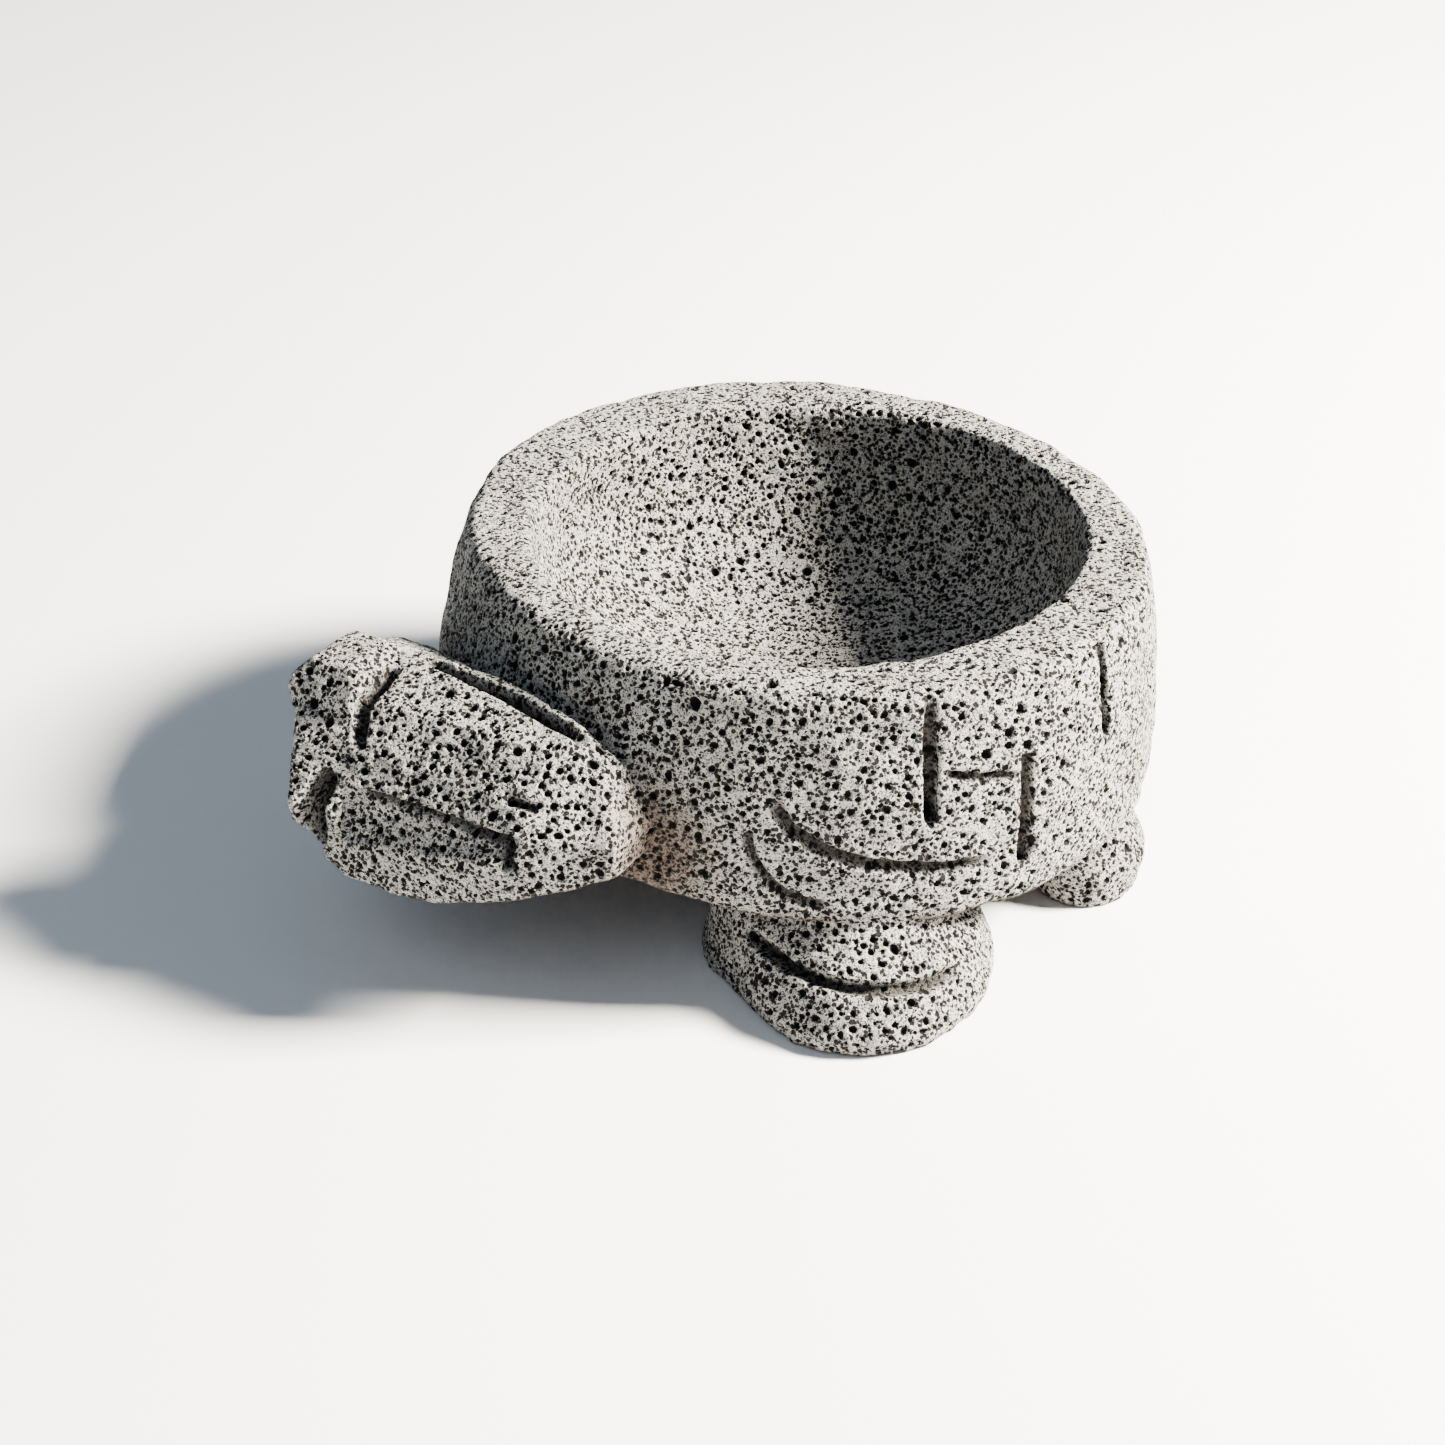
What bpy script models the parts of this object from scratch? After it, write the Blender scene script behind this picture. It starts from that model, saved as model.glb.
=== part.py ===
"""Molcajete: a free-standing stone mortar hewn in the shape of a turtle.

The shell is a round, thick-walled bowl with a flat rim. A blocky head, two front flippers,
two rear feet and a short tail stand out of it. Each carved region is a solid of its own,
0.3 mm clear of the shell it joins. Metres, +Z up, the head towards -Y, the turtle's left at +X.
The origin is on the ground, in the middle of the whole body's box.
"""
import math

import bmesh
import bpy
from mathutils import Matrix, Vector

# ---- driving dimensions -------------------------------------------------------------------
RIM_RADIUS = 0.080            # outer edge of the rim
RIM_INNER_RADIUS = 0.065      # mouth of the basin
RIM_HEIGHT = 0.080            # rim above the ground
RIM_EDGE = 0.0025             # rounding of both rim edges
BASIN_FLOOR = 0.032           # lowest point of the basin above the ground
BASIN_SQUARENESS = 2.7        # 2 is an ellipse, more is steeper walls on a flatter floor
UNDERSIDE = 0.0215            # flat belly above the ground
WALL_BULGE = 0.0045           # how far the wall swells beyond the rim
BULGE_DROP = 0.040            # distance below the rim where the swell is full
BELLY_EDGE = 0.006            # rounding from the wall to the belly
NECK_FLARE = 0.0085           # extra swell of the wall behind the head
NECK_RISE = 0.0100            # how far the belly lifts under the head
NECK_ANGLE = math.radians(75)     # half angle of the swell and the lift
RISE_TOP = 0.045              # height above which nothing lifts
OVAL = 0.0040                 # the wall is this much wider than round, and as much shorter
OVAL_TURN = math.radians(7)
DRIFT = 0.0014                # the outer wall's middle lies this far from the basin's
DRIFT_TURN = math.radians(-108)
BOWL_AXIS_Y = 0.0205          # bowl axis behind the middle of the whole body
JOINT_GAP = 0.0003            # clearance between neighbouring solids
SLAB_SIZE = 0.4               # slab that cuts the soles flat
SLAB_DEPTH = 0.02

TURNS = 80                    # facets round the bowl
WALL_STEPS = 7                # facets down the wall
BASIN_STEPS = 11              # facets from the rim to the middle of the basin
EDGE_STEPS = 3                # facets round each rounded edge
OVAL_STEPS = 28               # points round each oval of a limb
MM = 0.001                    # the carved regions' own numbers are in mm
MERGE_DISTANCE = 0.0001       # corners closer than this are one

GROOVE_WIDTH = 0.0030
GROOVE_DEPTH = 0.0020
# upright grooves on the shell: angle from the head in degrees, top and bottom height
UPRIGHT_GROOVES = ((73.0, 0.0805, 0.050), (88.5, 0.061, 0.034), (105.5, 0.078, 0.057))

STONE_ROUGHNESS = 0.93


# ---- scene helpers ------------------------------------------------------------------------
def clear_scene():
    for old in list(bpy.data.objects):
        bpy.data.objects.remove(old, do_unlink=True)


def new_collection(name):
    made = bpy.data.collections.new(name)
    bpy.context.scene.collection.children.link(made)
    return made


def stone_material(name, colour):
    material = bpy.data.materials.new(name)
    material.use_nodes = True
    shader = material.node_tree.nodes["Principled BSDF"]
    shader.inputs["Base Color"].default_value = (*colour, 1.0)
    shader.inputs["Roughness"].default_value = STONE_ROUGHNESS
    shader.inputs["Metallic"].default_value = 0.0
    return material


def add_object(name, mesh, collection, material=None):
    made = bpy.data.objects.new(name, mesh)
    collection.objects.link(made)
    if material:
        mesh.materials.append(material)
    return made


def add_cutter(name, mesh, collection):
    made = add_object(name, mesh, collection)
    made.hide_render = True
    made.display_type = "WIRE"
    return made


def evaluated_mesh(source):
    bpy.context.view_layer.update()
    graph = bpy.context.evaluated_depsgraph_get()
    return bpy.data.meshes.new_from_object(source.evaluated_get(graph))


def boolean(target, operand, operation="DIFFERENCE"):
    modifier = target.modifiers.new(operand.name, "BOOLEAN")
    modifier.operation = operation
    modifier.solver = "EXACT"
    modifier.object = operand


def place(across, ahead, height):
    """A point from the bowl's axis: to the turtle's left, towards the head, above the ground."""
    return Vector((across, BOWL_AXIS_Y - ahead, height))


def on_wall(angle, radius, height):
    """A point round the bowl's axis, its angle taken from the head towards the left side."""
    return place(radius * math.sin(angle), radius * math.cos(angle), height)


# ---- bowl ---------------------------------------------------------------------------------
def wall_radius(height):
    """Radius of the shell's outer wall at a height, without the flare behind the head."""
    fall = min(1.0, (RIM_HEIGHT - height) / BULGE_DROP)
    return RIM_RADIUS + WALL_BULGE * math.sin(fall * math.pi / 2)


def neck_fade(angle):
    """One straight ahead, falling smoothly to none at the sides of the neck."""
    if abs(angle) > NECK_ANGLE:
        return 0.0
    return 0.5 + 0.5 * math.cos(math.pi * angle / NECK_ANGLE)


def wall_swell(angle, height):
    """Extra radius of the outer wall at an angle from the head: oval, and flared at the neck."""
    oval = -OVAL * math.cos(2 * (angle - OVAL_TURN))
    drift = DRIFT * math.cos(angle - DRIFT_TURN)
    fall = min(1.0, max(0.0, (RIM_HEIGHT - height) / (RIM_HEIGHT / 2)))
    return oval + drift + NECK_FLARE * neck_fade(angle) * math.sin(fall * math.pi / 2)


def belly_lift(angle, height):
    """How far the lower wall is raised below the head."""
    return NECK_RISE * neck_fade(angle) * max(0.0, (RISE_TOP - height) / (RISE_TOP - UNDERSIDE))


def arc(centre, radius, start, end, steps):
    """Points of an arc in the profile plane, angles in degrees from the outward direction."""
    points = []
    for step in range(steps + 1):
        angle = math.radians(start + (end - start) * step / steps)
        points.append((centre[0] + radius * math.cos(angle), centre[1] + radius * math.sin(angle)))
    return points


def wall_profile(grow):
    """The outer wall from the rim down to the belly, grown outwards by a clearance."""
    lowest = UNDERSIDE + BELLY_EDGE
    highest = RIM_HEIGHT - RIM_EDGE
    points = []
    for step in range(WALL_STEPS + 1):
        height = highest + (lowest - highest) * step / WALL_STEPS
        points.append((wall_radius(height) + grow, height))
    edge_centre = (wall_radius(lowest) - BELLY_EDGE, lowest)
    points += arc(edge_centre, BELLY_EDGE + grow, 0, -90, EDGE_STEPS)[1:]
    points.append((0.0, UNDERSIDE - grow))
    return points


def basin_profile():
    """The basin from the middle of its floor up to the rim: a squared-off ellipse."""
    depth = RIM_HEIGHT - RIM_EDGE - BASIN_FLOOR
    power = 2 / BASIN_SQUARENESS
    points = []
    for step in range(BASIN_STEPS + 1):
        angle = math.pi / 2 * step / BASIN_STEPS
        radius = RIM_INNER_RADIUS * math.sin(angle) ** power
        height = BASIN_FLOOR + depth * (1 - math.cos(angle) ** power)
        points.append((radius, height))
    return points


def rim_profile():
    inner_centre = (RIM_INNER_RADIUS + RIM_EDGE, RIM_HEIGHT - RIM_EDGE)
    outer_centre = (RIM_RADIUS - RIM_EDGE, RIM_HEIGHT - RIM_EDGE)
    inner_edge = arc(inner_centre, RIM_EDGE, 180, 90, EDGE_STEPS)
    outer_edge = arc(outer_centre, RIM_EDGE, 90, 0, EDGE_STEPS)
    return inner_edge[1:] + outer_edge[:-1]


def turned_mesh(name, profile, scratch):
    """Turn a profile about the bowl's axis, then draw its wall out of round."""
    outline = bpy.data.meshes.new(name + "_profile")
    vertices = [(radius, 0.0, height) for radius, height in profile]
    edges = [(index, index + 1) for index in range(len(profile) - 1)]
    outline.from_pydata(vertices, edges, [])
    guide = add_cutter(name + "_profile", outline, scratch)
    screw = guide.modifiers.new("turn", "SCREW")
    screw.axis = "Z"
    screw.steps = TURNS
    screw.render_steps = TURNS
    screw.use_merge_vertices = True
    screw.merge_threshold = 0.00001
    turned = evaluated_mesh(guide)
    bpy.data.objects.remove(guide)
    for vertex in turned.vertices:
        radius = math.hypot(vertex.co.x, vertex.co.y)
        if radius > RIM_INNER_RADIUS + RIM_EDGE:
            angle = math.atan2(vertex.co.x, -vertex.co.y)
            swell = 1 + wall_swell(angle, vertex.co.z) / radius
            vertex.co.z += belly_lift(angle, vertex.co.z)
            vertex.co.x *= swell
            vertex.co.y *= swell
        vertex.co.y += BOWL_AXIS_Y
    return turned


def groove_cutter(name, angle, top, bottom, scratch):
    """A box that saws one upright groove into the wall."""
    cube = bmesh.new()
    bmesh.ops.create_cube(cube, size=1.0)
    middle = (top + bottom) / 2
    reach = 0.010
    size = Matrix.Diagonal((GROOVE_WIDTH, reach, top - bottom, 1.0))
    turn = Matrix.Rotation(angle, 4, "Z")
    surface = wall_radius(middle) + wall_swell(angle, middle)
    centre = on_wall(angle, surface - GROOVE_DEPTH + reach / 2, middle)
    cube.transform(Matrix.Translation(centre) @ turn @ size)
    mesh = bpy.data.meshes.new(name)
    cube.to_mesh(mesh)
    cube.free()
    return add_cutter(name, mesh, scratch)


def build_bowl(parts, scratch):
    profile = basin_profile() + rim_profile() + wall_profile(0.0)
    mesh = turned_mesh("bowl", profile, scratch)
    mesh.shade_smooth()
    mesh.set_sharp_from_angle(angle=math.radians(40))
    bowl = add_object("bowl", mesh, parts, stone_material("bowl_stone", (0.50, 0.49, 0.46)))
    for side in (1, -1):
        for index, (degrees, top, bottom) in enumerate(UPRIGHT_GROOVES):
            name = f"groove_{'left' if side > 0 else 'right'}_{index}"
            boolean(bowl, groove_cutter(name, side * math.radians(degrees), top, bottom, scratch))
    return bowl


def build_clearance(scratch):
    """The bowl's outside grown by the gap: it trims every limb to the shell."""
    profile = [(0.0, RIM_HEIGHT + JOINT_GAP)] + wall_profile(JOINT_GAP)
    profile.insert(1, (wall_radius(RIM_HEIGHT) + JOINT_GAP, RIM_HEIGHT + JOINT_GAP))
    return add_cutter("shell_clearance", turned_mesh("clearance", profile, scratch), scratch)


# ---- hewn lumps ---------------------------------------------------------------------------
def turned(turn, offset):
    """A direction or offset (left, forward, up) of something that is turned to the left."""
    left, forward, up = offset
    across = left * math.cos(turn) + forward * math.sin(turn)
    ahead = forward * math.cos(turn) - left * math.sin(turn)
    return Vector((across, -ahead, up))


def hewn_block(name, middle, turn, size, cuts):
    """A box chiselled flat by planes, each at a turn, a rise and a distance from its middle."""
    block = bmesh.new()
    bmesh.ops.create_cube(block, size=1.0)
    block.transform(Matrix.Diagonal((*size, 1.0)))
    for cut_turn, rise, distance in cuts:
        side, lift = math.radians(cut_turn), math.radians(rise)
        facing = Vector((math.sin(side) * math.cos(lift), -math.cos(side) * math.cos(lift), math.sin(lift)))
        whole = block.verts[:] + block.edges[:] + block.faces[:]
        made = bmesh.ops.bisect_plane(block, geom=whole, plane_co=facing * distance * MM,
                                      plane_no=facing, clear_outer=True)
        edges = [part for part in made["geom_cut"] if isinstance(part, bmesh.types.BMEdge)]
        if edges:
            bmesh.ops.edgeloop_fill(block, edges=edges)
    bmesh.ops.remove_doubles(block, verts=block.verts, dist=MERGE_DISTANCE)
    bmesh.ops.recalc_face_normals(block, faces=block.faces)
    block.transform(Matrix.Translation(middle) @ Matrix.Rotation(turn, 4, "Z"))
    mesh = bpy.data.meshes.new(name)
    block.to_mesh(mesh)
    block.free()
    return mesh


def oval_lump(name, ovals, turn, mirror):
    """The lump between level ovals: across, ahead, height, half length and half width in mm."""
    lump = bmesh.new()
    for across, ahead, height, half_length, half_width in ovals:
        for step in range(OVAL_STEPS):
            angle = 2 * math.pi * step / OVAL_STEPS
            offset = (half_width * math.sin(angle), half_length * math.cos(angle), 0.0)
            point = turned(turn, offset) * MM
            point += place(across * MM, ahead * MM, height * MM)
            point.x *= mirror
            lump.verts.new(point)
    return hull_of(lump, name)


def hull_of(points, name):
    """A mesh of the convex hull round a bmesh's loose points, which it uses up."""
    bmesh.ops.convex_hull(points, input=points.verts)
    inside = [vertex for vertex in points.verts if not vertex.link_faces]
    bmesh.ops.delete(points, geom=inside, context="VERTS")
    bmesh.ops.recalc_face_normals(points, faces=points.faces)
    mesh = bpy.data.meshes.new(name)
    points.to_mesh(mesh)
    points.free()
    return mesh


def ground_cutter(scratch):
    """A slab below the ground: cutting with it leaves a flat sole."""
    slab = bmesh.new()
    bmesh.ops.create_cube(slab, size=1.0)
    size = Matrix.Diagonal((SLAB_SIZE, SLAB_SIZE, SLAB_DEPTH, 1.0))
    slab.transform(Matrix.Translation((0, 0, -SLAB_DEPTH / 2)) @ size)
    mesh = bpy.data.meshes.new("ground")
    slab.to_mesh(mesh)
    slab.free()
    return add_cutter("ground", mesh, scratch)


def ellipsoid_cutter(name, centre, radii, scratch):
    ball = bmesh.new()
    bmesh.ops.create_uvsphere(ball, u_segments=16, v_segments=10, radius=1.0)
    ball.transform(Matrix.Translation(centre) @ Matrix.Diagonal((*radii, 1.0)))
    mesh = bpy.data.meshes.new(name)
    ball.to_mesh(mesh)
    ball.free()
    return add_cutter(name, mesh, scratch)


def cone_cutter(name, start, end, start_radius, end_radius, scratch):
    """A tapered round bar from one point to another."""
    bar = bmesh.new()
    length = (end - start).length
    bmesh.ops.create_cone(bar, cap_ends=True, segments=20, radius1=start_radius,
                          radius2=end_radius, depth=length)
    turn = (end - start).to_track_quat("Z", "Y").to_matrix().to_4x4()
    bar.transform(Matrix.Translation((start + end) / 2) @ turn)
    mesh = bpy.data.meshes.new(name)
    bar.to_mesh(mesh)
    bar.free()
    return add_cutter(name, mesh, scratch)


# ---- head ---------------------------------------------------------------------------------
HEAD_TURN = math.radians(24)          # the head looks this far to the turtle's left
HEAD_MIDDLE = (0.011, 0.093, 0.046)   # across, ahead, height
HEAD_SIZE = (0.092, 0.064, 0.044)     # the block before it is hewn: wide, deep, high
# chisel cuts: turn from straight forward to the left, rise, distance from the middle in mm
HEAD_CUTS = (
    (0, 76, 20),        # forehead, sloping down to the brow
    (4, 47, 18.5),      # slope from the brow to the lip
    (6, -4, 25.5),      # front, with the mouth and the scoop
    (90, -72, 17),      # left underside, rising to the cheek
    (0, -90, 18),       # chin
    (-45, -40, 38),     # right side of the chin
    (-60, 0, 45),       # right cheek
    (-90, 0, 43),
    (-90, 45, 41),      # right edge of the forehead
    (166, 20, 15),      # nape, facing the shell
    (180, 60, 23),
    (32, 0, 29),        # left cheek, below its ridge
    (32, 42, 24),       # left cheek, above its ridge
    (90, 30, 35),       # left shoulder
    (90, 60, 29),
    (90, 0, 39),
)
NECK_MIDDLE = (0.002, 0.074, 0.043)
NECK_SIZE = (0.060, 0.044, 0.020)
NECK_TURN = math.radians(10)
# one eye stands out of the right side as a knob; places are from the head's middle, in mm
KNOB_PLACE = (-38, 2, 9)
KNOB_SIZE = (0.018, 0.022, 0.030)
KNOB_CUTS = (
    (0, 40, 14),
    (0, -35, 14),
    (90, 50, 15),
    (-90, 45, 14),
    (-70, -20, 10),
    (180, 45, 16),
)
MOUTH_PLACE = (-29, 26, -3)
MOUTH_RADII = (0.0035, 0.0100, 0.0100)
SCOOP_FRONT = (-21, 35, 2)
SCOOP_BACK = (23, 23, 4)
SCOOP_FRONT_RADIUS = 0.0125
SCOOP_BACK_RADIUS = 0.0035


def on_head(offset):
    """A point given in mm from the head's middle, turned with the head."""
    return place(*HEAD_MIDDLE) + turned(HEAD_TURN, offset) * MM


def build_head(parts, scratch, clearance):
    mesh = hewn_block("head", place(*HEAD_MIDDLE), HEAD_TURN, HEAD_SIZE, HEAD_CUTS)
    head = add_object("head", mesh, parts, stone_material("head_stone", (0.47, 0.47, 0.46)))
    knob = hewn_block("eye_knob", on_head(KNOB_PLACE), HEAD_TURN, KNOB_SIZE, KNOB_CUTS)
    boolean(head, add_cutter("eye_knob", knob, scratch), "UNION")
    neck = hewn_block("neck", place(*NECK_MIDDLE), NECK_TURN, NECK_SIZE, ())
    boolean(head, add_cutter("neck", neck, scratch), "UNION")
    mouth = ellipsoid_cutter("mouth", on_head(MOUTH_PLACE), MOUTH_RADII, scratch)
    boolean(head, mouth)
    scoop = cone_cutter("scoop", on_head(SCOOP_FRONT), on_head(SCOOP_BACK),
                        SCOOP_FRONT_RADIUS, SCOOP_BACK_RADIUS, scratch)
    boolean(head, scoop)
    boolean(head, clearance)
    return head


# ---- flippers, feet and tail --------------------------------------------------------------
# level ovals of one limb: across, ahead, height, half length, half width, all in mm
FLIPPER_TURN = math.radians(33)
FLIPPER = (
    (65, 27, 0, 32, 27),      # sole
    (65, 27, 4, 33, 28),
    (65, 27, 12, 28, 25),     # slope of the toe
    (62, 28, 22, 19, 17),     # top, under the edge of the shell
    (46, 37, 0, 20, 20),      # root, towards the neck
    (46, 37, 20, 16, 16),
)
FOOT_TURN = math.radians(45)
REAR_FOOT = (
    (61, -41, 0, 17, 13),     # sole
    (61, -41, 8, 18, 14),     # swell above the sole
    (57, -40, 25, 15, 10),    # top, against the wall
    (48, -40, 0, 12, 12),     # root, under the belly
    (48, -40, 18, 12, 12),
)
TAIL_TURN = 0.0
TAIL = (
    (0, -78, 28, 6, 11),      # root, against the wall
    (0, -78, 48, 5, 5),
    (0, -88, 24, 5, 7),       # tip
    (0, -88, 31, 5, 7),
)


def build_limb(name, ovals, turn, mirror, colour, parts, trims):
    mesh = oval_lump(name, ovals, turn, mirror)
    limb = add_object(name, mesh, parts, stone_material(name + "_stone", colour))
    for trim in trims:
        boolean(limb, trim)
    return limb


def build_limbs(parts, ground, clearance):
    trims = (ground, clearance)
    for side, mirror in (("left", 1), ("right", -1)):
        front, rear = f"front_{side}_flipper", f"rear_{side}_foot"
        build_limb(front, FLIPPER, FLIPPER_TURN, mirror, (0.52, 0.50, 0.45), parts, trims)
        build_limb(rear, REAR_FOOT, FOOT_TURN, mirror, (0.50, 0.48, 0.44), parts, trims)
    build_limb("tail", TAIL, TAIL_TURN, 1, (0.46, 0.45, 0.43), parts, (clearance,))


def build_model():
    clear_scene()
    parts = new_collection("molcajete")
    scratch = new_collection("cutters")
    build_bowl(parts, scratch)
    clearance = build_clearance(scratch)
    ground = ground_cutter(scratch)
    build_head(parts, scratch, clearance)
    build_limbs(parts, ground, clearance)


build_model()
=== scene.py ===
"""Stone mortar in the shape of a turtle: the looks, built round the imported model.

All carved regions are one block of vesicular stone, so their surfaces are merged first, then
worked as one skin (grooves, pores, unevenness) and cut back into one piece per CAD node.
"""
import math

import bmesh
import bpy
import numpy as np
from mathutils import Matrix, Vector
from mathutils.bvhtree import BVHTree
from mathutils.kdtree import KDTree


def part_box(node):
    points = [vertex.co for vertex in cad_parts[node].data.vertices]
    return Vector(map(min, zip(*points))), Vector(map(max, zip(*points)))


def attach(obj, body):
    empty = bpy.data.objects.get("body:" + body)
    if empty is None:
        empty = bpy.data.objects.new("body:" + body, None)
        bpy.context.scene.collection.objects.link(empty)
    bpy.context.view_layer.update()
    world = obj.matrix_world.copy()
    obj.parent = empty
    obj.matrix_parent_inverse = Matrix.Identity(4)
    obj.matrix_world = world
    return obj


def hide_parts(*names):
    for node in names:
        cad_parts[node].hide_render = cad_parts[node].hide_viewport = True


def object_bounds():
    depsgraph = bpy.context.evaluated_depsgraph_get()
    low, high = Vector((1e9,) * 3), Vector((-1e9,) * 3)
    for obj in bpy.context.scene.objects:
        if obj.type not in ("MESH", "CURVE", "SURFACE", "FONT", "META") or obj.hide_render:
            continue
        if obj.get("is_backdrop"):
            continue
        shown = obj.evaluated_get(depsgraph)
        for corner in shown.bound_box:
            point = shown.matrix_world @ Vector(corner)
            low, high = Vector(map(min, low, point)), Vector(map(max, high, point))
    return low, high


RANDOM = np.random.default_rng(7)

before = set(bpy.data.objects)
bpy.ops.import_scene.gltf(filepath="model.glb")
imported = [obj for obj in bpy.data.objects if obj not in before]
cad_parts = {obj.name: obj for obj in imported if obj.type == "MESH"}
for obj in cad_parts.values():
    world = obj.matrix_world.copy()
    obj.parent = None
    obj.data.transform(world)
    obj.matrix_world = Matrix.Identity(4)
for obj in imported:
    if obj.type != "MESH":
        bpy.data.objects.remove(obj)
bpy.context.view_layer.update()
NODES = ["bowl", "head", "front_left_flipper", "front_right_flipper",
         "rear_left_foot", "rear_right_foot", "tail"]

MM = 0.001
COARSE = 0.00090              # voxel of the merged skin; one subdivision halves it
OVERLAP = 0.0012              # limbs are merged a second time this far inwards, to close the gaps
TINY_LENGTH, TINY_AREA = 1e-9, 1e-12  # least divisors

AXIS_Y = 0.0205               # the bowl's upright axis lies this far behind the body's middle
HEAD_MIDDLE = (0.011, 0.093, 0.046)   # across, ahead, height from that axis
HEAD_TURN = math.radians(24)          # the head looks this far to the left
FLIPPER_MIDDLE = (0.065, 0.027)       # across, ahead
WALL_INSIDE = 0.075           # the outer wall lies beyond this radius, the basin within it
WALL_OUTSIDE = 0.088          # paths on the wall start at this radius and are laid on the skin

SLOT_WIDTH, SLOT_DEEPER = 0.0036, 0.0012     # the CAD wall already has the slots, 2 mm deep
GROOVE, LINE = (0.0042, 0.0026), (0.0032, 0.0016)     # width and depth of the two chisels
TAPER, BLUNT_END = 0.12, 0.25    # a groove deepens over about this share, from a shallow end
FLAT_GROOVE, FLAT_SLOT, FLAT_HOLLOW = 1.35, 1.6, 1.5  # above 1, a cut is flat at its bottom
PATH_STEP = 0.003             # distance between the points at which a path is laid on the skin
ARC_STEPS = 8                 # pieces in an arc

# how many are tried, smallest and largest radius, and how rare the larger ones are
PORE_LAYERS = ((380, 0.00095, 0.00150, 2.0), (19000, 0.00045, 0.00090, 2.2))
PORE_GAP = 0.00030            # stone left between two pores
PORE_DEPTH = 1.4              # of the radius
PORE_STRETCH = 0.6            # the longest pores are longer than wide by this share
PORE_RAGGED = 0.05            # how uneven their edge is, as a share of the radius
PORE_EDGE = 1.15              # the painted shade of a pore reaches this far, in radii
# the steps from a cell to itself and the 26 round it
NEIGHBOURS = [(i, j, k) for i in (0, -1, 1) for j in (0, -1, 1) for k in (0, -1, 1)]

WAVES, SHORTEST, LONGEST = 40, 0.0022, 0.022   # the hewn surface's waves and their lengths
WAVE_HEIGHT = 0.0045          # of a wave's length

FACES_DOWN, SHADE_RISE = 0.15, 0.6   # painted shade, tinted brown like bounce light, starts at this downward slope, and is full past it
NECK_REACH, NECK_FULL = 0.024, 1.3   # how far it reaches round the neck; above 1, full for longer
OWNER_MARGIN = 0.002          # a face this near to a node's box can belong to that node


def spot(across, ahead, height):
    """A point from the bowl's axis: to the turtle's left, towards the head, above the ground."""
    return Vector((across, AXIS_Y - ahead, height))


# ---- mesh arrays --------------------------------------------------------------------------
def arrays(mesh):
    co = np.empty(len(mesh.vertices) * 3, np.float32)
    mesh.vertices.foreach_get("co", co)
    corners = np.empty(len(mesh.loops), np.int32)
    mesh.loops.foreach_get("vertex_index", corners)
    return co.reshape(-1, 3).astype(float), corners


def mesh_of(name, points, faces):
    mesh = bpy.data.meshes.new(name)
    mesh.from_pydata(points, [], faces)
    return mesh


def evaluated(obj):
    bpy.context.view_layer.update()
    graph = bpy.context.evaluated_depsgraph_get()
    return bpy.data.meshes.new_from_object(obj.evaluated_get(graph))


def vertex_normals(co, quads):
    a, b, c, d = (co[quads[:, i]] for i in range(4))
    face = np.cross(c - a, d - b)
    normal = np.zeros_like(co)
    for i in range(4):
        np.add.at(normal, quads[:, i], face)
    return normal / np.maximum(np.linalg.norm(normal, axis=1, keepdims=True), TINY_AREA)


# ---- one merged skin ----------------------------------------------------------------------
def merged_skin():
    """All CAD solids joined and remeshed into one closed skin of small even quads."""
    joined = bmesh.new()
    for name in NODES:
        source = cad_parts[name].data
        joined.from_mesh(source)
        if name == "bowl":
            continue
        low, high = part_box(name)
        middle = (low + high) / 2
        inward = Vector((-middle.x, AXIS_Y - middle.y, 0)).normalized() * OVERLAP
        if name not in ("head", "tail"):
            inward.z = OVERLAP
        extra = source.copy()
        extra.transform(Matrix.Translation(inward))
        joined.from_mesh(extra)
        bpy.data.meshes.remove(extra)
    mesh = bpy.data.meshes.new("joined")
    joined.to_mesh(mesh)
    joined.free()
    block = bpy.data.objects.new("block", mesh)
    bpy.context.scene.collection.objects.link(block)
    remesh = block.modifiers.new("merge", "REMESH")
    remesh.mode = "VOXEL"
    remesh.voxel_size = COARSE
    smooth = block.modifiers.new("ease", "SMOOTH")
    smooth.factor = 0.5
    smooth.iterations = 1
    fine = block.modifiers.new("fine", "SUBSURF")
    fine.levels = 1
    fine.render_levels = 1
    skin = evaluated(block)
    bpy.data.objects.remove(block)
    return skin


skin = merged_skin()
co, corners = arrays(skin)
quads = corners.reshape(-1, 4)
print("skin", len(co), "vertices", len(quads), "quads")
normal = vertex_normals(co, quads)
base = co.copy()


def segment_distance(points, path):
    """Distance of each point to a polyline, and how far along it that is, 0 to 1."""
    best = np.full(len(points), np.inf)
    along = np.zeros(len(points))
    path = np.array(path, float)
    lengths = np.linalg.norm(np.diff(path, axis=0), axis=1)
    total, run = lengths.sum(), 0.0
    for start, end, length in zip(path[:-1], path[1:], lengths):
        t = np.clip(((points - start) @ (end - start)) / max(length, TINY_LENGTH) ** 2, 0, 1)
        d = np.linalg.norm(points - start - t[:, None] * (end - start), axis=1)
        nearer = d < best
        best = np.where(nearer, d, best)
        along = np.where(nearer, (run + t * length) / total, along)
        run += length
    return best, along


def ease(x):
    """0 up to 0, 1 from 1 on, and a smooth rise between them."""
    x = np.clip(x, 0, 1)
    return x * x * (3 - 2 * x)


finder = KDTree(len(co))
for index, point in enumerate(co):
    finder.insert(point, index)
finder.balance()


def snapped(points):
    """The nearest skin points to rough positions given from the bowl's axis."""
    return [finder.find(spot(*p))[0] for p in points]


groove_shade = np.zeros(len(co))     # how much a place is the bottom of a groove, slot or the mouth, where painted shade darkens the stone


def near(points, reach):
    """Which skin points lie in the points' box, widened by the reach."""
    low, high = np.min(points, axis=0) - reach, np.max(points, axis=0) + reach
    return np.nonzero(((co > low) & (co < high)).all(axis=1))[0]


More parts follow.
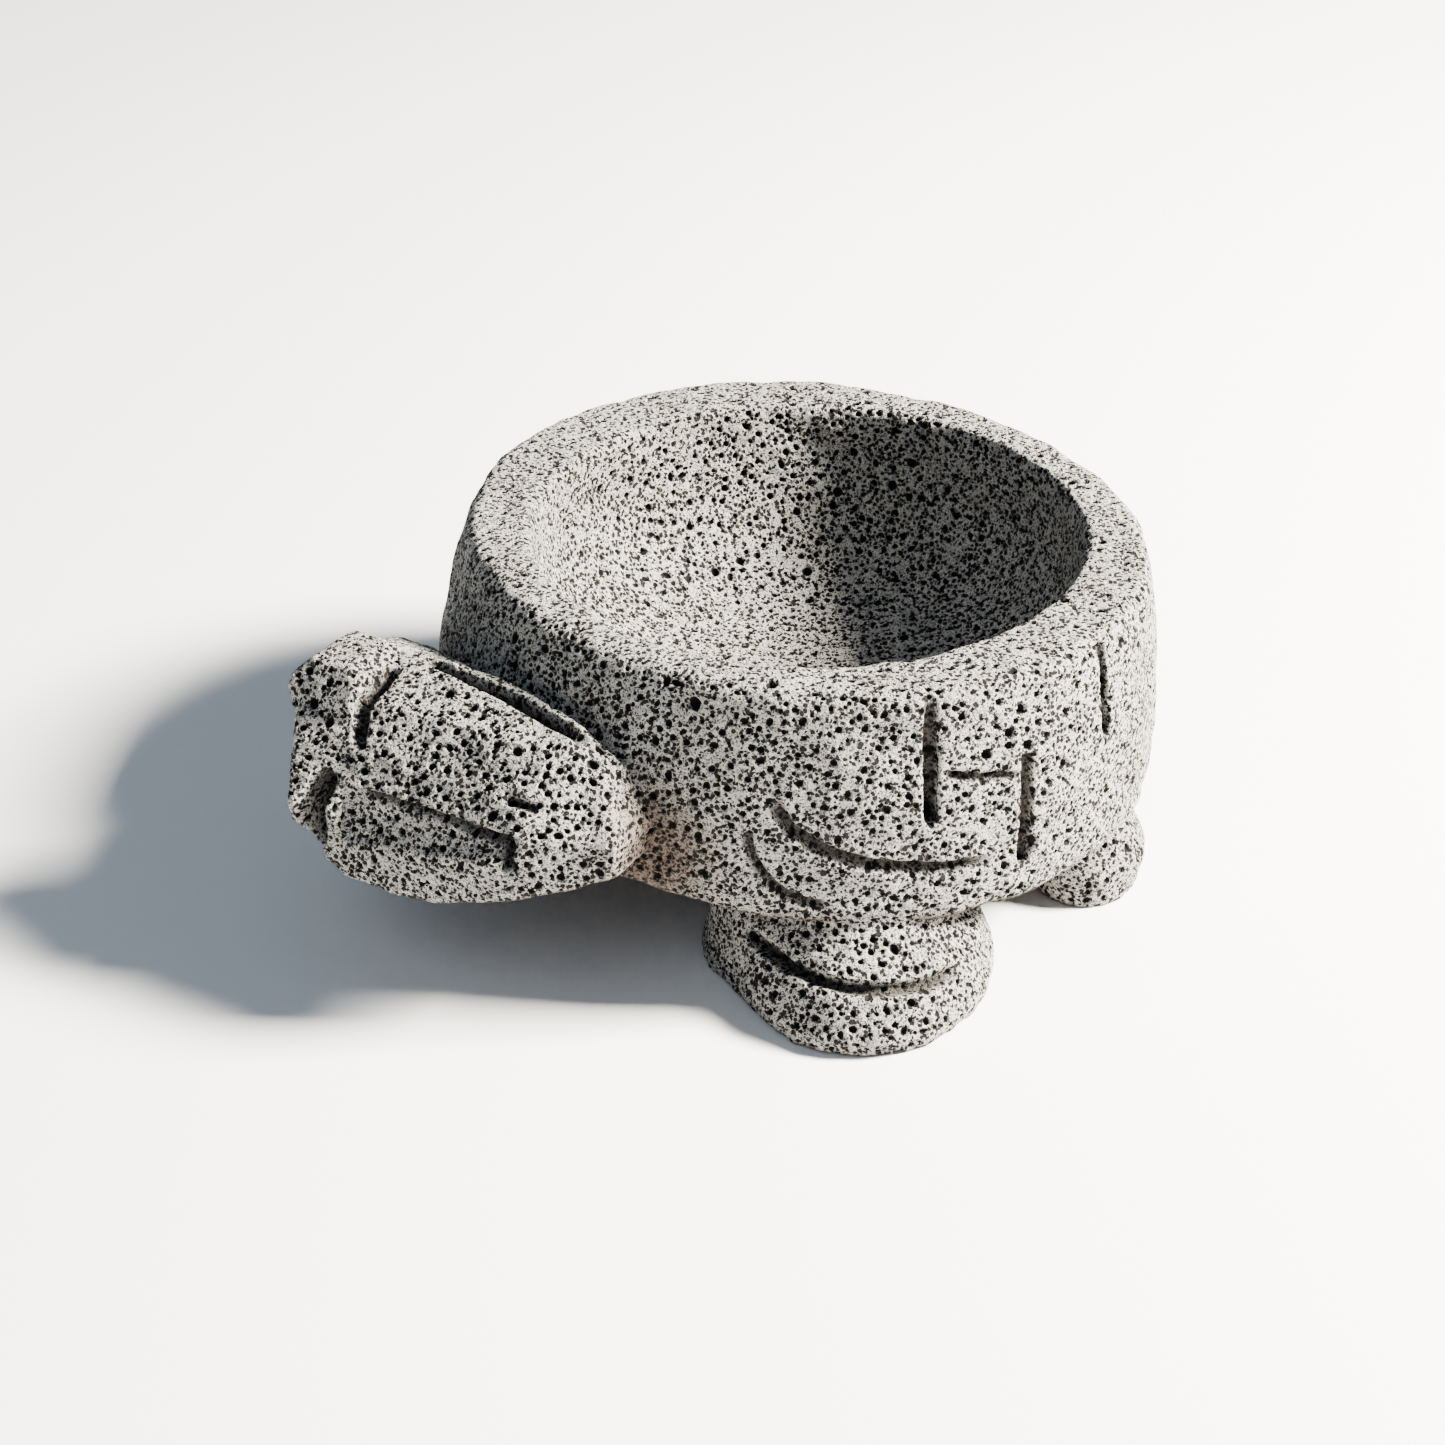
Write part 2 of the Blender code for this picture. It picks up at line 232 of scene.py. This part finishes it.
def resampled(points):
    """A polyline with extra points, so that it can follow a curved surface."""
    dense = [points[0]]
    for start, end in zip(points[:-1], points[1:]):
        count = max(1, round(math.dist(start, end) / PATH_STEP))
        for number in range(1, count + 1):
            dense.append(tuple(a + (b - a) * number / count for a, b in zip(start, end)))
    return dense


def carve(points, width, depth):
    """A chiselled groove along a path laid on the skin."""
    path = np.array(snapped(resampled(points)), float)
    chosen = near(path, width)
    distance, along = segment_distance(base[chosen], path)
    side = ease(FLAT_GROOVE * (1 - distance / (width / 2)))
    ends = ease(np.minimum(along, 1 - along) / TAPER + BLUNT_END)
    cut = side * ends
    co[chosen] -= normal[chosen] * (cut * depth)[:, None]
    # painted shade at the bottom of the groove
    groove_shade[chosen] = np.maximum(groove_shade[chosen], cut)


def saw(angle, top, bottom):
    """A straight upright slot in the wall, at an angle in degrees from the head."""
    turn = math.radians(angle)
    outward = np.array((math.sin(turn), -math.cos(turn)))
    sideways = np.array((math.cos(turn), math.sin(turn)))
    flat = base[:, :2] - np.array((0.0, AXIS_Y))
    reach = SLOT_WIDTH / 2
    off = np.abs(flat @ sideways)
    chosen = np.nonzero((flat @ outward > WALL_INSIDE) & (off < reach))[0]
    height = base[chosen, 2]
    ends = ease((height - bottom) / reach) * ease((top - height) / reach)
    cut = ease(FLAT_SLOT * (1 - off[chosen] / reach)) * ends
    co[chosen] -= normal[chosen] * (cut * SLOT_DEEPER)[:, None]
    # painted shade at the bottom of the slot
    groove_shade[chosen] = np.maximum(groove_shade[chosen], cut)


def hollow(centre, radii, depth):
    """A hole pushed back into the head, with painted shade inside it; radii are towards its left,
    forward and up, in mm.
    """
    left = np.array((math.cos(HEAD_TURN), math.sin(HEAD_TURN), 0.0))
    forward = np.array((math.sin(HEAD_TURN), -math.cos(HEAD_TURN), 0.0))
    offset = base - np.array(spot(*centre))
    squared = (offset @ left / (radii[0] * MM)) ** 2 + (offset @ forward / (radii[1] * MM)) ** 2
    squared += (offset[:, 2] / (radii[2] * MM)) ** 2
    cut = ease(FLAT_HOLLOW * np.clip(1 - squared, 0, 1))
    co[:] -= forward * (cut * depth)[:, None]
    # painted shade inside the mouth
    groove_shade[:] = np.maximum(groove_shade, cut)


def around(angle, height):
    """A point on the wall, the angle in degrees from the head towards the left side."""
    turn = math.radians(angle)
    return (WALL_OUTSIDE * math.sin(turn), WALL_OUTSIDE * math.cos(turn), height)


def swept(side, start, end):
    """A quarter arc on the wall from (angle, height), steep at first, to (angle, height), level."""
    points = []
    for step in range(ARC_STEPS + 1):
        turn = math.pi / 2 * step / ARC_STEPS
        angle = start[0] + (end[0] - start[0]) * (1 - math.cos(turn))
        height = start[1] + (end[1] - start[1]) * math.sin(turn)
        points.append(around(side * angle, height))
    return points


def round_flipper(side, start, end, radius, height):
    """A level arc round a flipper's middle, its angles in degrees from straight ahead."""
    points = []
    for step in range(ARC_STEPS + 1):
        turn = math.radians(start + (end - start) * step / ARC_STEPS)
        across = FLIPPER_MIDDLE[0] + radius * math.sin(turn)
        points.append((side * across, FLIPPER_MIDDLE[1] + radius * math.cos(turn), height))
    return points


def on_head(left, forward, up):
    """A point given in mm from the head's middle, turned with the head."""
    left, forward, up = left * MM, forward * MM, up * MM
    across = HEAD_MIDDLE[0] + left * math.cos(HEAD_TURN) + forward * math.sin(HEAD_TURN)
    ahead = HEAD_MIDDLE[1] + forward * math.cos(HEAD_TURN) - left * math.sin(HEAD_TURN)
    return (across, ahead, HEAD_MIDDLE[2] + up)


# ---- grooves ------------------------------------------------------------------------------
for side in (1, -1):
    saw(side * 73, 0.079, 0.049)
    saw(side * 88.5, 0.062, 0.033)
    saw(side * 105.5, 0.079, 0.056)
    carve([around(side * 75, 0.061), around(side * 87, 0.057)], *LINE)   # joins two slots
    carve(swept(side, (50, 0.058), (82, 0.037)), *GROOVE)                # over the flipper
    carve(swept(side, (46, 0.050), (58, 0.030)), *LINE)
    carve(round_flipper(side, -25, 105, 0.025, 0.014), *GROOVE)
carve([on_head(-24, -8, 22), on_head(4, -4, 22), on_head(26, 0, 20)], *GROOVE)  # over the top
carve([on_head(-27, -2, 20), on_head(-27, 10, 16), on_head(-24, 16, 11)], *GROOVE)
carve([on_head(15, 14, 9), on_head(22, 13, 8)], *LINE)    # the left eye
hollow(on_head(-29, 24, -3), (4.2, 9.0, 10.5), 0.007)     # mouth
carve([on_head(-18, 24, 5), on_head(2, 22, 4), on_head(20, 20, 3)], *LINE)   # along the cheek
carve([on_head(18, 20, 5), on_head(19, 20, -3)], *GROOVE)


# ---- pores --------------------------------------------------------------------------------
def spaced_seeds(layers, gap):
    """Random places for round pores of the given radii, the large ones first, none touching."""
    cells, cell = {}, 2 * max(largest for _, _, largest, _ in layers) + gap
    seeds, radii = [], []
    for count, smallest, largest, power in layers:
        tries = RANDOM.integers(0, len(co), count)
        sizes = np.sort(smallest + (largest - smallest) * RANDOM.random(count) ** power)[::-1]
        for index, size in zip(tries.tolist(), sizes.tolist()):
            x, y, z = base[index]
            home = (int(x // cell), int(y // cell), int(z // cell))
            free = True
            for shift in NEIGHBOURS:
                for ox, oy, oz, other in cells.get(tuple(map(sum, zip(home, shift))), ()):
                    if (x - ox) ** 2 + (y - oy) ** 2 + (z - oz) ** 2 < (size + other + gap) ** 2:
                        free = False
                        break
                if not free:
                    break
            if free:
                cells.setdefault(home, []).append((x, y, z, size))
                seeds.append(index)
                radii.append(size)
    return np.array(seeds), np.array(radii)


def open_pores(seeds, sizes, depth):
    """Round and stretched bubbles opened by the surface: how deep each place is, and how much
    painted shade darkens it.
    """
    count = len(seeds)
    stretch = 1 + PORE_STRETCH * RANDOM.random(count) ** 2
    direction = RANDOM.normal(size=(count, 3))
    direction /= np.linalg.norm(direction, axis=1, keepdims=True)
    pores, members = [], []
    for number in range(count):
        reach = sizes[number] * stretch[number] * PORE_EDGE
        for _, index, _ in finder.find_range(base[seeds[number]], reach):
            pores.append(number)
            members.append(index)
    pores, members = np.array(pores), np.array(members)
    offset = base[members] - base[seeds[pores]]
    along = (offset * direction[pores]).sum(axis=1)
    squared = (offset ** 2).sum(axis=1) - along ** 2 * (1 - 1 / stretch[pores] ** 2)
    ragged = RANDOM.normal(size=len(members)) * PORE_RAGGED
    ratio = np.sqrt(np.maximum(squared, 0)) / sizes[pores] + ragged
    deepest, shade = np.zeros(len(co)), np.zeros(len(co))
    np.maximum.at(deepest, members, np.sqrt(np.clip(1 - ratio ** 2, 0, 1)) * sizes[pores] * depth)
    np.maximum.at(shade, members, np.clip(PORE_EDGE - ratio, 0, 1))
    return deepest, shade


seeds, radii = spaced_seeds(PORE_LAYERS, PORE_GAP)
sunk, dark = open_pores(seeds, radii, PORE_DEPTH)
print("pores", len(seeds))

# hand-hewn unevenness: long waves and finer chatter, none of it below the ground
waves = RANDOM.normal(size=(WAVES, 3))
waves /= np.linalg.norm(waves, axis=1, keepdims=True)
lengths = np.geomspace(SHORTEST, LONGEST, WAVES)
phases = RANDOM.random(WAVES) * 2 * math.pi
uneven = np.zeros(len(co))
for direction, length, phase in zip(waves, lengths, phases):
    uneven += np.sin(base @ direction * (2 * math.pi / length) + phase) * length * WAVE_HEIGHT
co += normal * (uneven - sunk)[:, None]
co[:, 2] = np.maximum(co[:, 2], 0.0)

# painted shade tinted brown like bounce light from the ground, on what faces the ground and round
# the neck between head and shell
painted_under_shade = ease((-normal[:, 2] - FACES_DOWN) / SHADE_RISE)
NECK_LINE = [spot(-0.034, 0.086, 0.042), spot(0.044, 0.074, 0.040)]
to_neck, _ = segment_distance(base, NECK_LINE)
painted_under_shade = np.maximum(painted_under_shade, ease(NECK_FULL * (1 - to_neck / NECK_REACH)))


# ---- cut the skin back into one piece per node ---------------------------------------------
centres = base[quads].mean(axis=1)
owner = np.zeros(len(quads), int)
bowl_tree = BVHTree.FromObject(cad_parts["bowl"], bpy.context.evaluated_depsgraph_get())
for number, name in enumerate(NODES):
    if name == "bowl":
        continue
    tree = BVHTree.FromObject(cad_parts[name], bpy.context.evaluated_depsgraph_get())
    low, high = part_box(name)
    inside = ((centres > np.array(low) - OWNER_MARGIN)
              & (centres < np.array(high) + OWNER_MARGIN)).all(axis=1)
    for face in np.nonzero(inside)[0]:
        point = Vector(centres[face])
        own = tree.find_nearest(point)[3]
        shell = bowl_tree.find_nearest(point)[3]
        if own < shell:
            owner[face] = number


def capped_piece(name, faces):
    """The chosen faces as a mesh of their own, each open edge loop closed by a fan inside."""
    used, local = np.unique(quads[faces], return_inverse=True)
    local = local.reshape(-1, 4)
    points = co[used]
    edges = np.concatenate([local[:, [i, (i + 1) % 4]] for i in range(4)])
    key = np.sort(edges, axis=1)
    _, first, count = np.unique(key[:, 0] * len(used) + key[:, 1],
                                return_index=True, return_counts=True)
    rim = edges[first[count == 1]]
    parent = {}

    def root(v):
        while parent.setdefault(v, v) != v:
            parent[v] = parent[parent[v]]
            v = parent[v]
        return v

    for a, b in rim.tolist():
        parent[root(a)] = root(b)
    loops = {}
    for a, b in rim.tolist():
        loops.setdefault(root(a), []).append((a, b))
    fans, extra = [], []
    for group in loops.values():
        middle = points[[a for a, _ in group]].mean(axis=0)
        tip = len(used) + len(extra)
        extra.append(middle)
        fans += [(b, a, tip) for a, b in group]
    everything = np.vstack([points, extra]) if extra else points
    mesh = mesh_of(name, everything.tolist(), local.tolist() + fans)
    # the painted shade of pores, grooves and what faces down goes to the material as these
    # attributes
    for label, values in (("pore", dark), ("groove", groove_shade), ("painted_under_shade", painted_under_shade)):
        layer = mesh.attributes.new(label, "FLOAT", "POINT")
        data = np.concatenate([values[used], np.zeros(len(extra))]).astype(np.float32)
        layer.data.foreach_set("value", data)
    mesh.shade_smooth()
    return mesh


# ---- stone --------------------------------------------------------------------------------
BODY_DARK, BODY_PALE = (0.30, 0.29, 0.27), (0.41, 0.40, 0.385)
GRAIN, FLECK = (0.56, 0.545, 0.52), (0.30, 0.29, 0.28)
# the brown is painted shade tinted like bounce light, on what faces down and round the neck
# the near-black is painted shade for the bottoms of grooves, slots and the mouth
GROOVE_SHADE, UNDER_SHADE_BROWN = (0.055, 0.048, 0.042), (0.135, 0.088, 0.062)
# painted shade inside the pores
PORE_SHADE_BLACK = (0.022, 0.021, 0.020)
FLECK_SHARE, GROOVE_SHADE_SHARE, UNDER_SHADE_SHARE, TINY_SHARE = 0.5, 0.90, 0.85, 0.80

# texture scales, in cells to the metre, and the radius of the painted pores in cells
SMALL_PORES, TINY_PORES = (860.0, 0.31), (1900.0, 0.28)
BEND_SCALE, BEND = 900.0, 0.0011
PATCH_SCALE, GRAIN_SCALE, FLECK_SCALE, ROUGH_SCALE = 60.0, 2600.0, 1500.0, 1300.0
FLECK_RADIUS = 0.16
PORE_VARIES = -0.22           # by how much a painted pore's radius differs by chance

MIX_SHARE, MIX_FIRST, MIX_SECOND, MIX_RESULT = 0, 6, 7, 2    # sockets of a colour mix


def node(tree, kind, **settings):
    made = tree.nodes.new(kind)
    for name, value in settings.items():
        setattr(made, name, value)
    return made


def stone_material():
    material = bpy.data.materials.new("vesicular_stone")
    material.use_nodes = True
    tree = material.node_tree
    shader = tree.nodes["Principled BSDF"]
    link = tree.links.new
    place = node(tree, "ShaderNodeTexCoord").outputs["Object"]

    def maths(operation, *values):
        made = node(tree, "ShaderNodeMath", operation=operation)
        for slot, value in enumerate(values):
            if isinstance(value, float):
                made.inputs[slot].default_value = value
            else:
                link(value, made.inputs[slot])
        return made.outputs[0]

    def noise(scale, detail, rough=0.5):
        made = node(tree, "ShaderNodeTexNoise")
        made.inputs["Scale"].default_value = scale
        made.inputs["Detail"].default_value = detail
        made.inputs["Roughness"].default_value = rough
        link(place, made.inputs["Vector"])
        return made.outputs

    def span(value, low, high):
        """0 up to the low value, 1 from the high one on."""
        made = node(tree, "ShaderNodeMapRange", interpolation_type="SMOOTHSTEP")
        link(value, made.inputs["Value"])
        made.inputs["From Min"].default_value = low
        made.inputs["From Max"].default_value = high
        return made.outputs["Result"]

    def mix(share, first, second):
        """From the first colour to the second by the share; a colour is a tuple or a socket."""
        made = node(tree, "ShaderNodeMix", data_type="RGBA")
        link(share, made.inputs[MIX_SHARE])
        for slot, value in ((MIX_FIRST, first), (MIX_SECOND, second)):
            if isinstance(value, tuple):
                made.inputs[slot].default_value = (*value, 1.0)
            else:
                link(value, made.inputs[slot])
        return made.outputs[MIX_RESULT]

    def carried(name):
        return node(tree, "ShaderNodeAttribute", attribute_name=name).outputs["Fac"]

    # bend the coordinates a little, so that small pores are not round
    push = node(tree, "ShaderNodeVectorMath", operation="MULTIPLY_ADD")
    link(noise(BEND_SCALE, 1.0)["Color"], push.inputs[0])
    push.inputs[1].default_value = (BEND, BEND, BEND)
    link(place, push.inputs[2])

    def bubbles(scale, reach):
        """Painted pores, their shade painted in near black: 1 inside them and 0 on the stone."""
        made = node(tree, "ShaderNodeTexVoronoi", feature="F1")
        made.inputs["Scale"].default_value = scale
        link(push.outputs[0], made.inputs["Vector"])
        chance = node(tree, "ShaderNodeSeparateColor")
        link(made.outputs["Color"], chance.inputs[0])
        own = maths("MULTIPLY_ADD", chance.outputs[0], PORE_VARIES, made.outputs["Distance"])
        return maths("SUBTRACT", 1.0, span(own, reach - 0.04, reach + 0.02))

    small = bubbles(*SMALL_PORES)
    tiny = bubbles(*TINY_PORES)
    # painted shade in the carved pores and in the small painted ones
    pore_shade_mask = maths("MAXIMUM", span(carried("pore"), 0.20, 0.30), small)
    pore_shade_mask = maths("MAXIMUM", pore_shade_mask, maths("MULTIPLY", tiny, TINY_SHARE))

    patches = span(noise(PATCH_SCALE, 3.0)["Fac"], 0.35, 0.65)
    grain = span(noise(GRAIN_SCALE, 2.0, 0.7)["Fac"], 0.3, 0.7)
    grained = mix(grain, mix(patches, BODY_DARK, BODY_PALE), GRAIN)
    speck = node(tree, "ShaderNodeTexVoronoi", feature="F1")
    speck.inputs["Scale"].default_value = FLECK_SCALE
    link(place, speck.inputs["Vector"])
    flecks = maths("LESS_THAN", speck.outputs["Distance"], FLECK_RADIUS)
    flecked = mix(maths("MULTIPLY", flecks, FLECK_SHARE), grained, FLECK)
    # painted shade at the bottoms of grooves, slots and the mouth
    groove_shaded = mix(maths("MULTIPLY", carried("groove"), GROOVE_SHADE_SHARE), flecked, GROOVE_SHADE)
    # painted shade tinted brown like bounce light, under the stone and round the neck
    under_shaded = mix(maths("MULTIPLY", carried("painted_under_shade"), UNDER_SHADE_SHARE), groove_shaded, UNDER_SHADE_BROWN)
    # the pores' painted shade laid over the stone
    link(mix(pore_shade_mask, under_shaded, PORE_SHADE_BLACK), shader.inputs["Base Color"])
    shader.inputs["Roughness"].default_value = 0.9
    shader.inputs["Specular IOR Level"].default_value = 0.25

    bump = node(tree, "ShaderNodeBump")
    bump.inputs["Strength"].default_value = 0.9
    bump.inputs["Distance"].default_value = 0.0005
    rough = maths("MULTIPLY", noise(ROUGH_SCALE, 3.0, 0.7)["Fac"], 1.4)
    pitted = maths("ADD", small, maths("MULTIPLY", tiny, 0.5))
    height = maths("SUBTRACT", maths("MULTIPLY_ADD", grain, 0.35, rough), pitted)
    link(height, bump.inputs["Height"])
    link(bump.outputs["Normal"], shader.inputs["Normal"])
    return material


stone = stone_material()
for number, name in enumerate(NODES):
    faces = np.nonzero(owner == number)[0]
    mesh = capped_piece("stone_" + name, faces)
    mesh.materials.append(stone)
    piece = bpy.data.objects.new("stone_" + name, mesh)
    bpy.context.scene.collection.objects.link(piece)
    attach(piece, "root")
    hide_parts(name)
    print("piece", name, len(mesh.polygons))


# ---- floor, light, camera ------------------------------------------------------------------
FLOOR_HALF, FLOOR_COLOUR = 4, (0.86, 0.86, 0.86)
SKY, SKY_STRENGTH = (0.74, 0.86, 1.0), 0.26
LIT_HEIGHT = 0.05             # the lights point at this height on the bowl's axis
PITCH = math.radians(32)
LENS, SENSOR = 63.3, 36.0
CAMERA_OUT, CAMERA_LEFT, CAMERA_HEIGHT = 0.534, 0.020, 0.358    # from the bowl's axis


def plain_material(name, colour, roughness):
    material = bpy.data.materials.new(name)
    material.use_nodes = True
    shader = material.node_tree.nodes["Principled BSDF"]
    shader.inputs["Base Color"].default_value = (*colour, 1.0)
    shader.inputs["Roughness"].default_value = roughness
    return material


floor_corners = [(x * FLOOR_HALF, y * FLOOR_HALF, 0)
                 for x, y in ((-1, -1), (1, -1), (1, 1), (-1, 1))]
floor = bpy.data.objects.new("floor", mesh_of("floor", floor_corners, [(0, 1, 2, 3)]))
bpy.context.scene.collection.objects.link(floor)
floor.data.materials.append(plain_material("pale_floor", FLOOR_COLOUR, 0.9))
floor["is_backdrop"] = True

world = bpy.data.worlds.new("studio")
bpy.context.scene.world = world
world.use_nodes = True
background = world.node_tree.nodes["Background"]
background.inputs["Color"].default_value = (*SKY, 1.0)
background.inputs["Strength"].default_value = SKY_STRENGTH

AZIMUTH = math.radians(56)
RIGHT = Vector((math.cos(AZIMUTH), math.sin(AZIMUTH), 0))
TOWARDS = Vector((math.sin(AZIMUTH), -math.cos(AZIMUTH), 0))
UP = Vector((0, 0, 1))


def area_light(name, turn, rise, distance, size, power, colour):
    """A square soft box; its direction is turned from the camera's side towards its right."""
    turn, rise = math.radians(turn), math.radians(rise)
    flat = RIGHT * math.sin(turn) + TOWARDS * math.cos(turn)
    direction = flat * math.cos(rise) + UP * math.sin(rise)
    data = bpy.data.lights.new(name, "AREA")
    data.energy, data.size, data.color = power, size, colour
    lamp = bpy.data.objects.new(name, data)
    lamp.location = spot(0, 0, LIT_HEIGHT) + direction * distance
    lamp.rotation_euler = direction.to_track_quat("Z", "Y").to_euler()
    bpy.context.scene.collection.objects.link(lamp)


area_light("key", turn=88, rise=36, distance=1.5, size=0.34, power=190.0,
           colour=(1.0, 0.94, 0.83))
area_light("fill", turn=-30, rise=45, distance=1.8, size=1.20, power=5.0,
           colour=(0.80, 0.90, 1.0))

forward = -(TOWARDS * math.cos(PITCH) + UP * math.sin(PITCH))
above = RIGHT.cross(forward)
camera_data = bpy.data.cameras.new("camera")
camera_data.lens, camera_data.sensor_width = LENS, SENSOR
camera = bpy.data.objects.new("camera", camera_data)
camera.location = (spot(0, 0, 0) + TOWARDS * CAMERA_OUT - RIGHT * CAMERA_LEFT
                   + UP * CAMERA_HEIGHT)
camera.rotation_euler = Matrix((RIGHT, above, -forward)).transposed().to_euler()
bpy.context.scene.collection.objects.link(camera)
bpy.context.scene.camera = camera

bpy.context.scene.view_settings.look = "AgX - Medium High Contrast"

low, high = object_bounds()
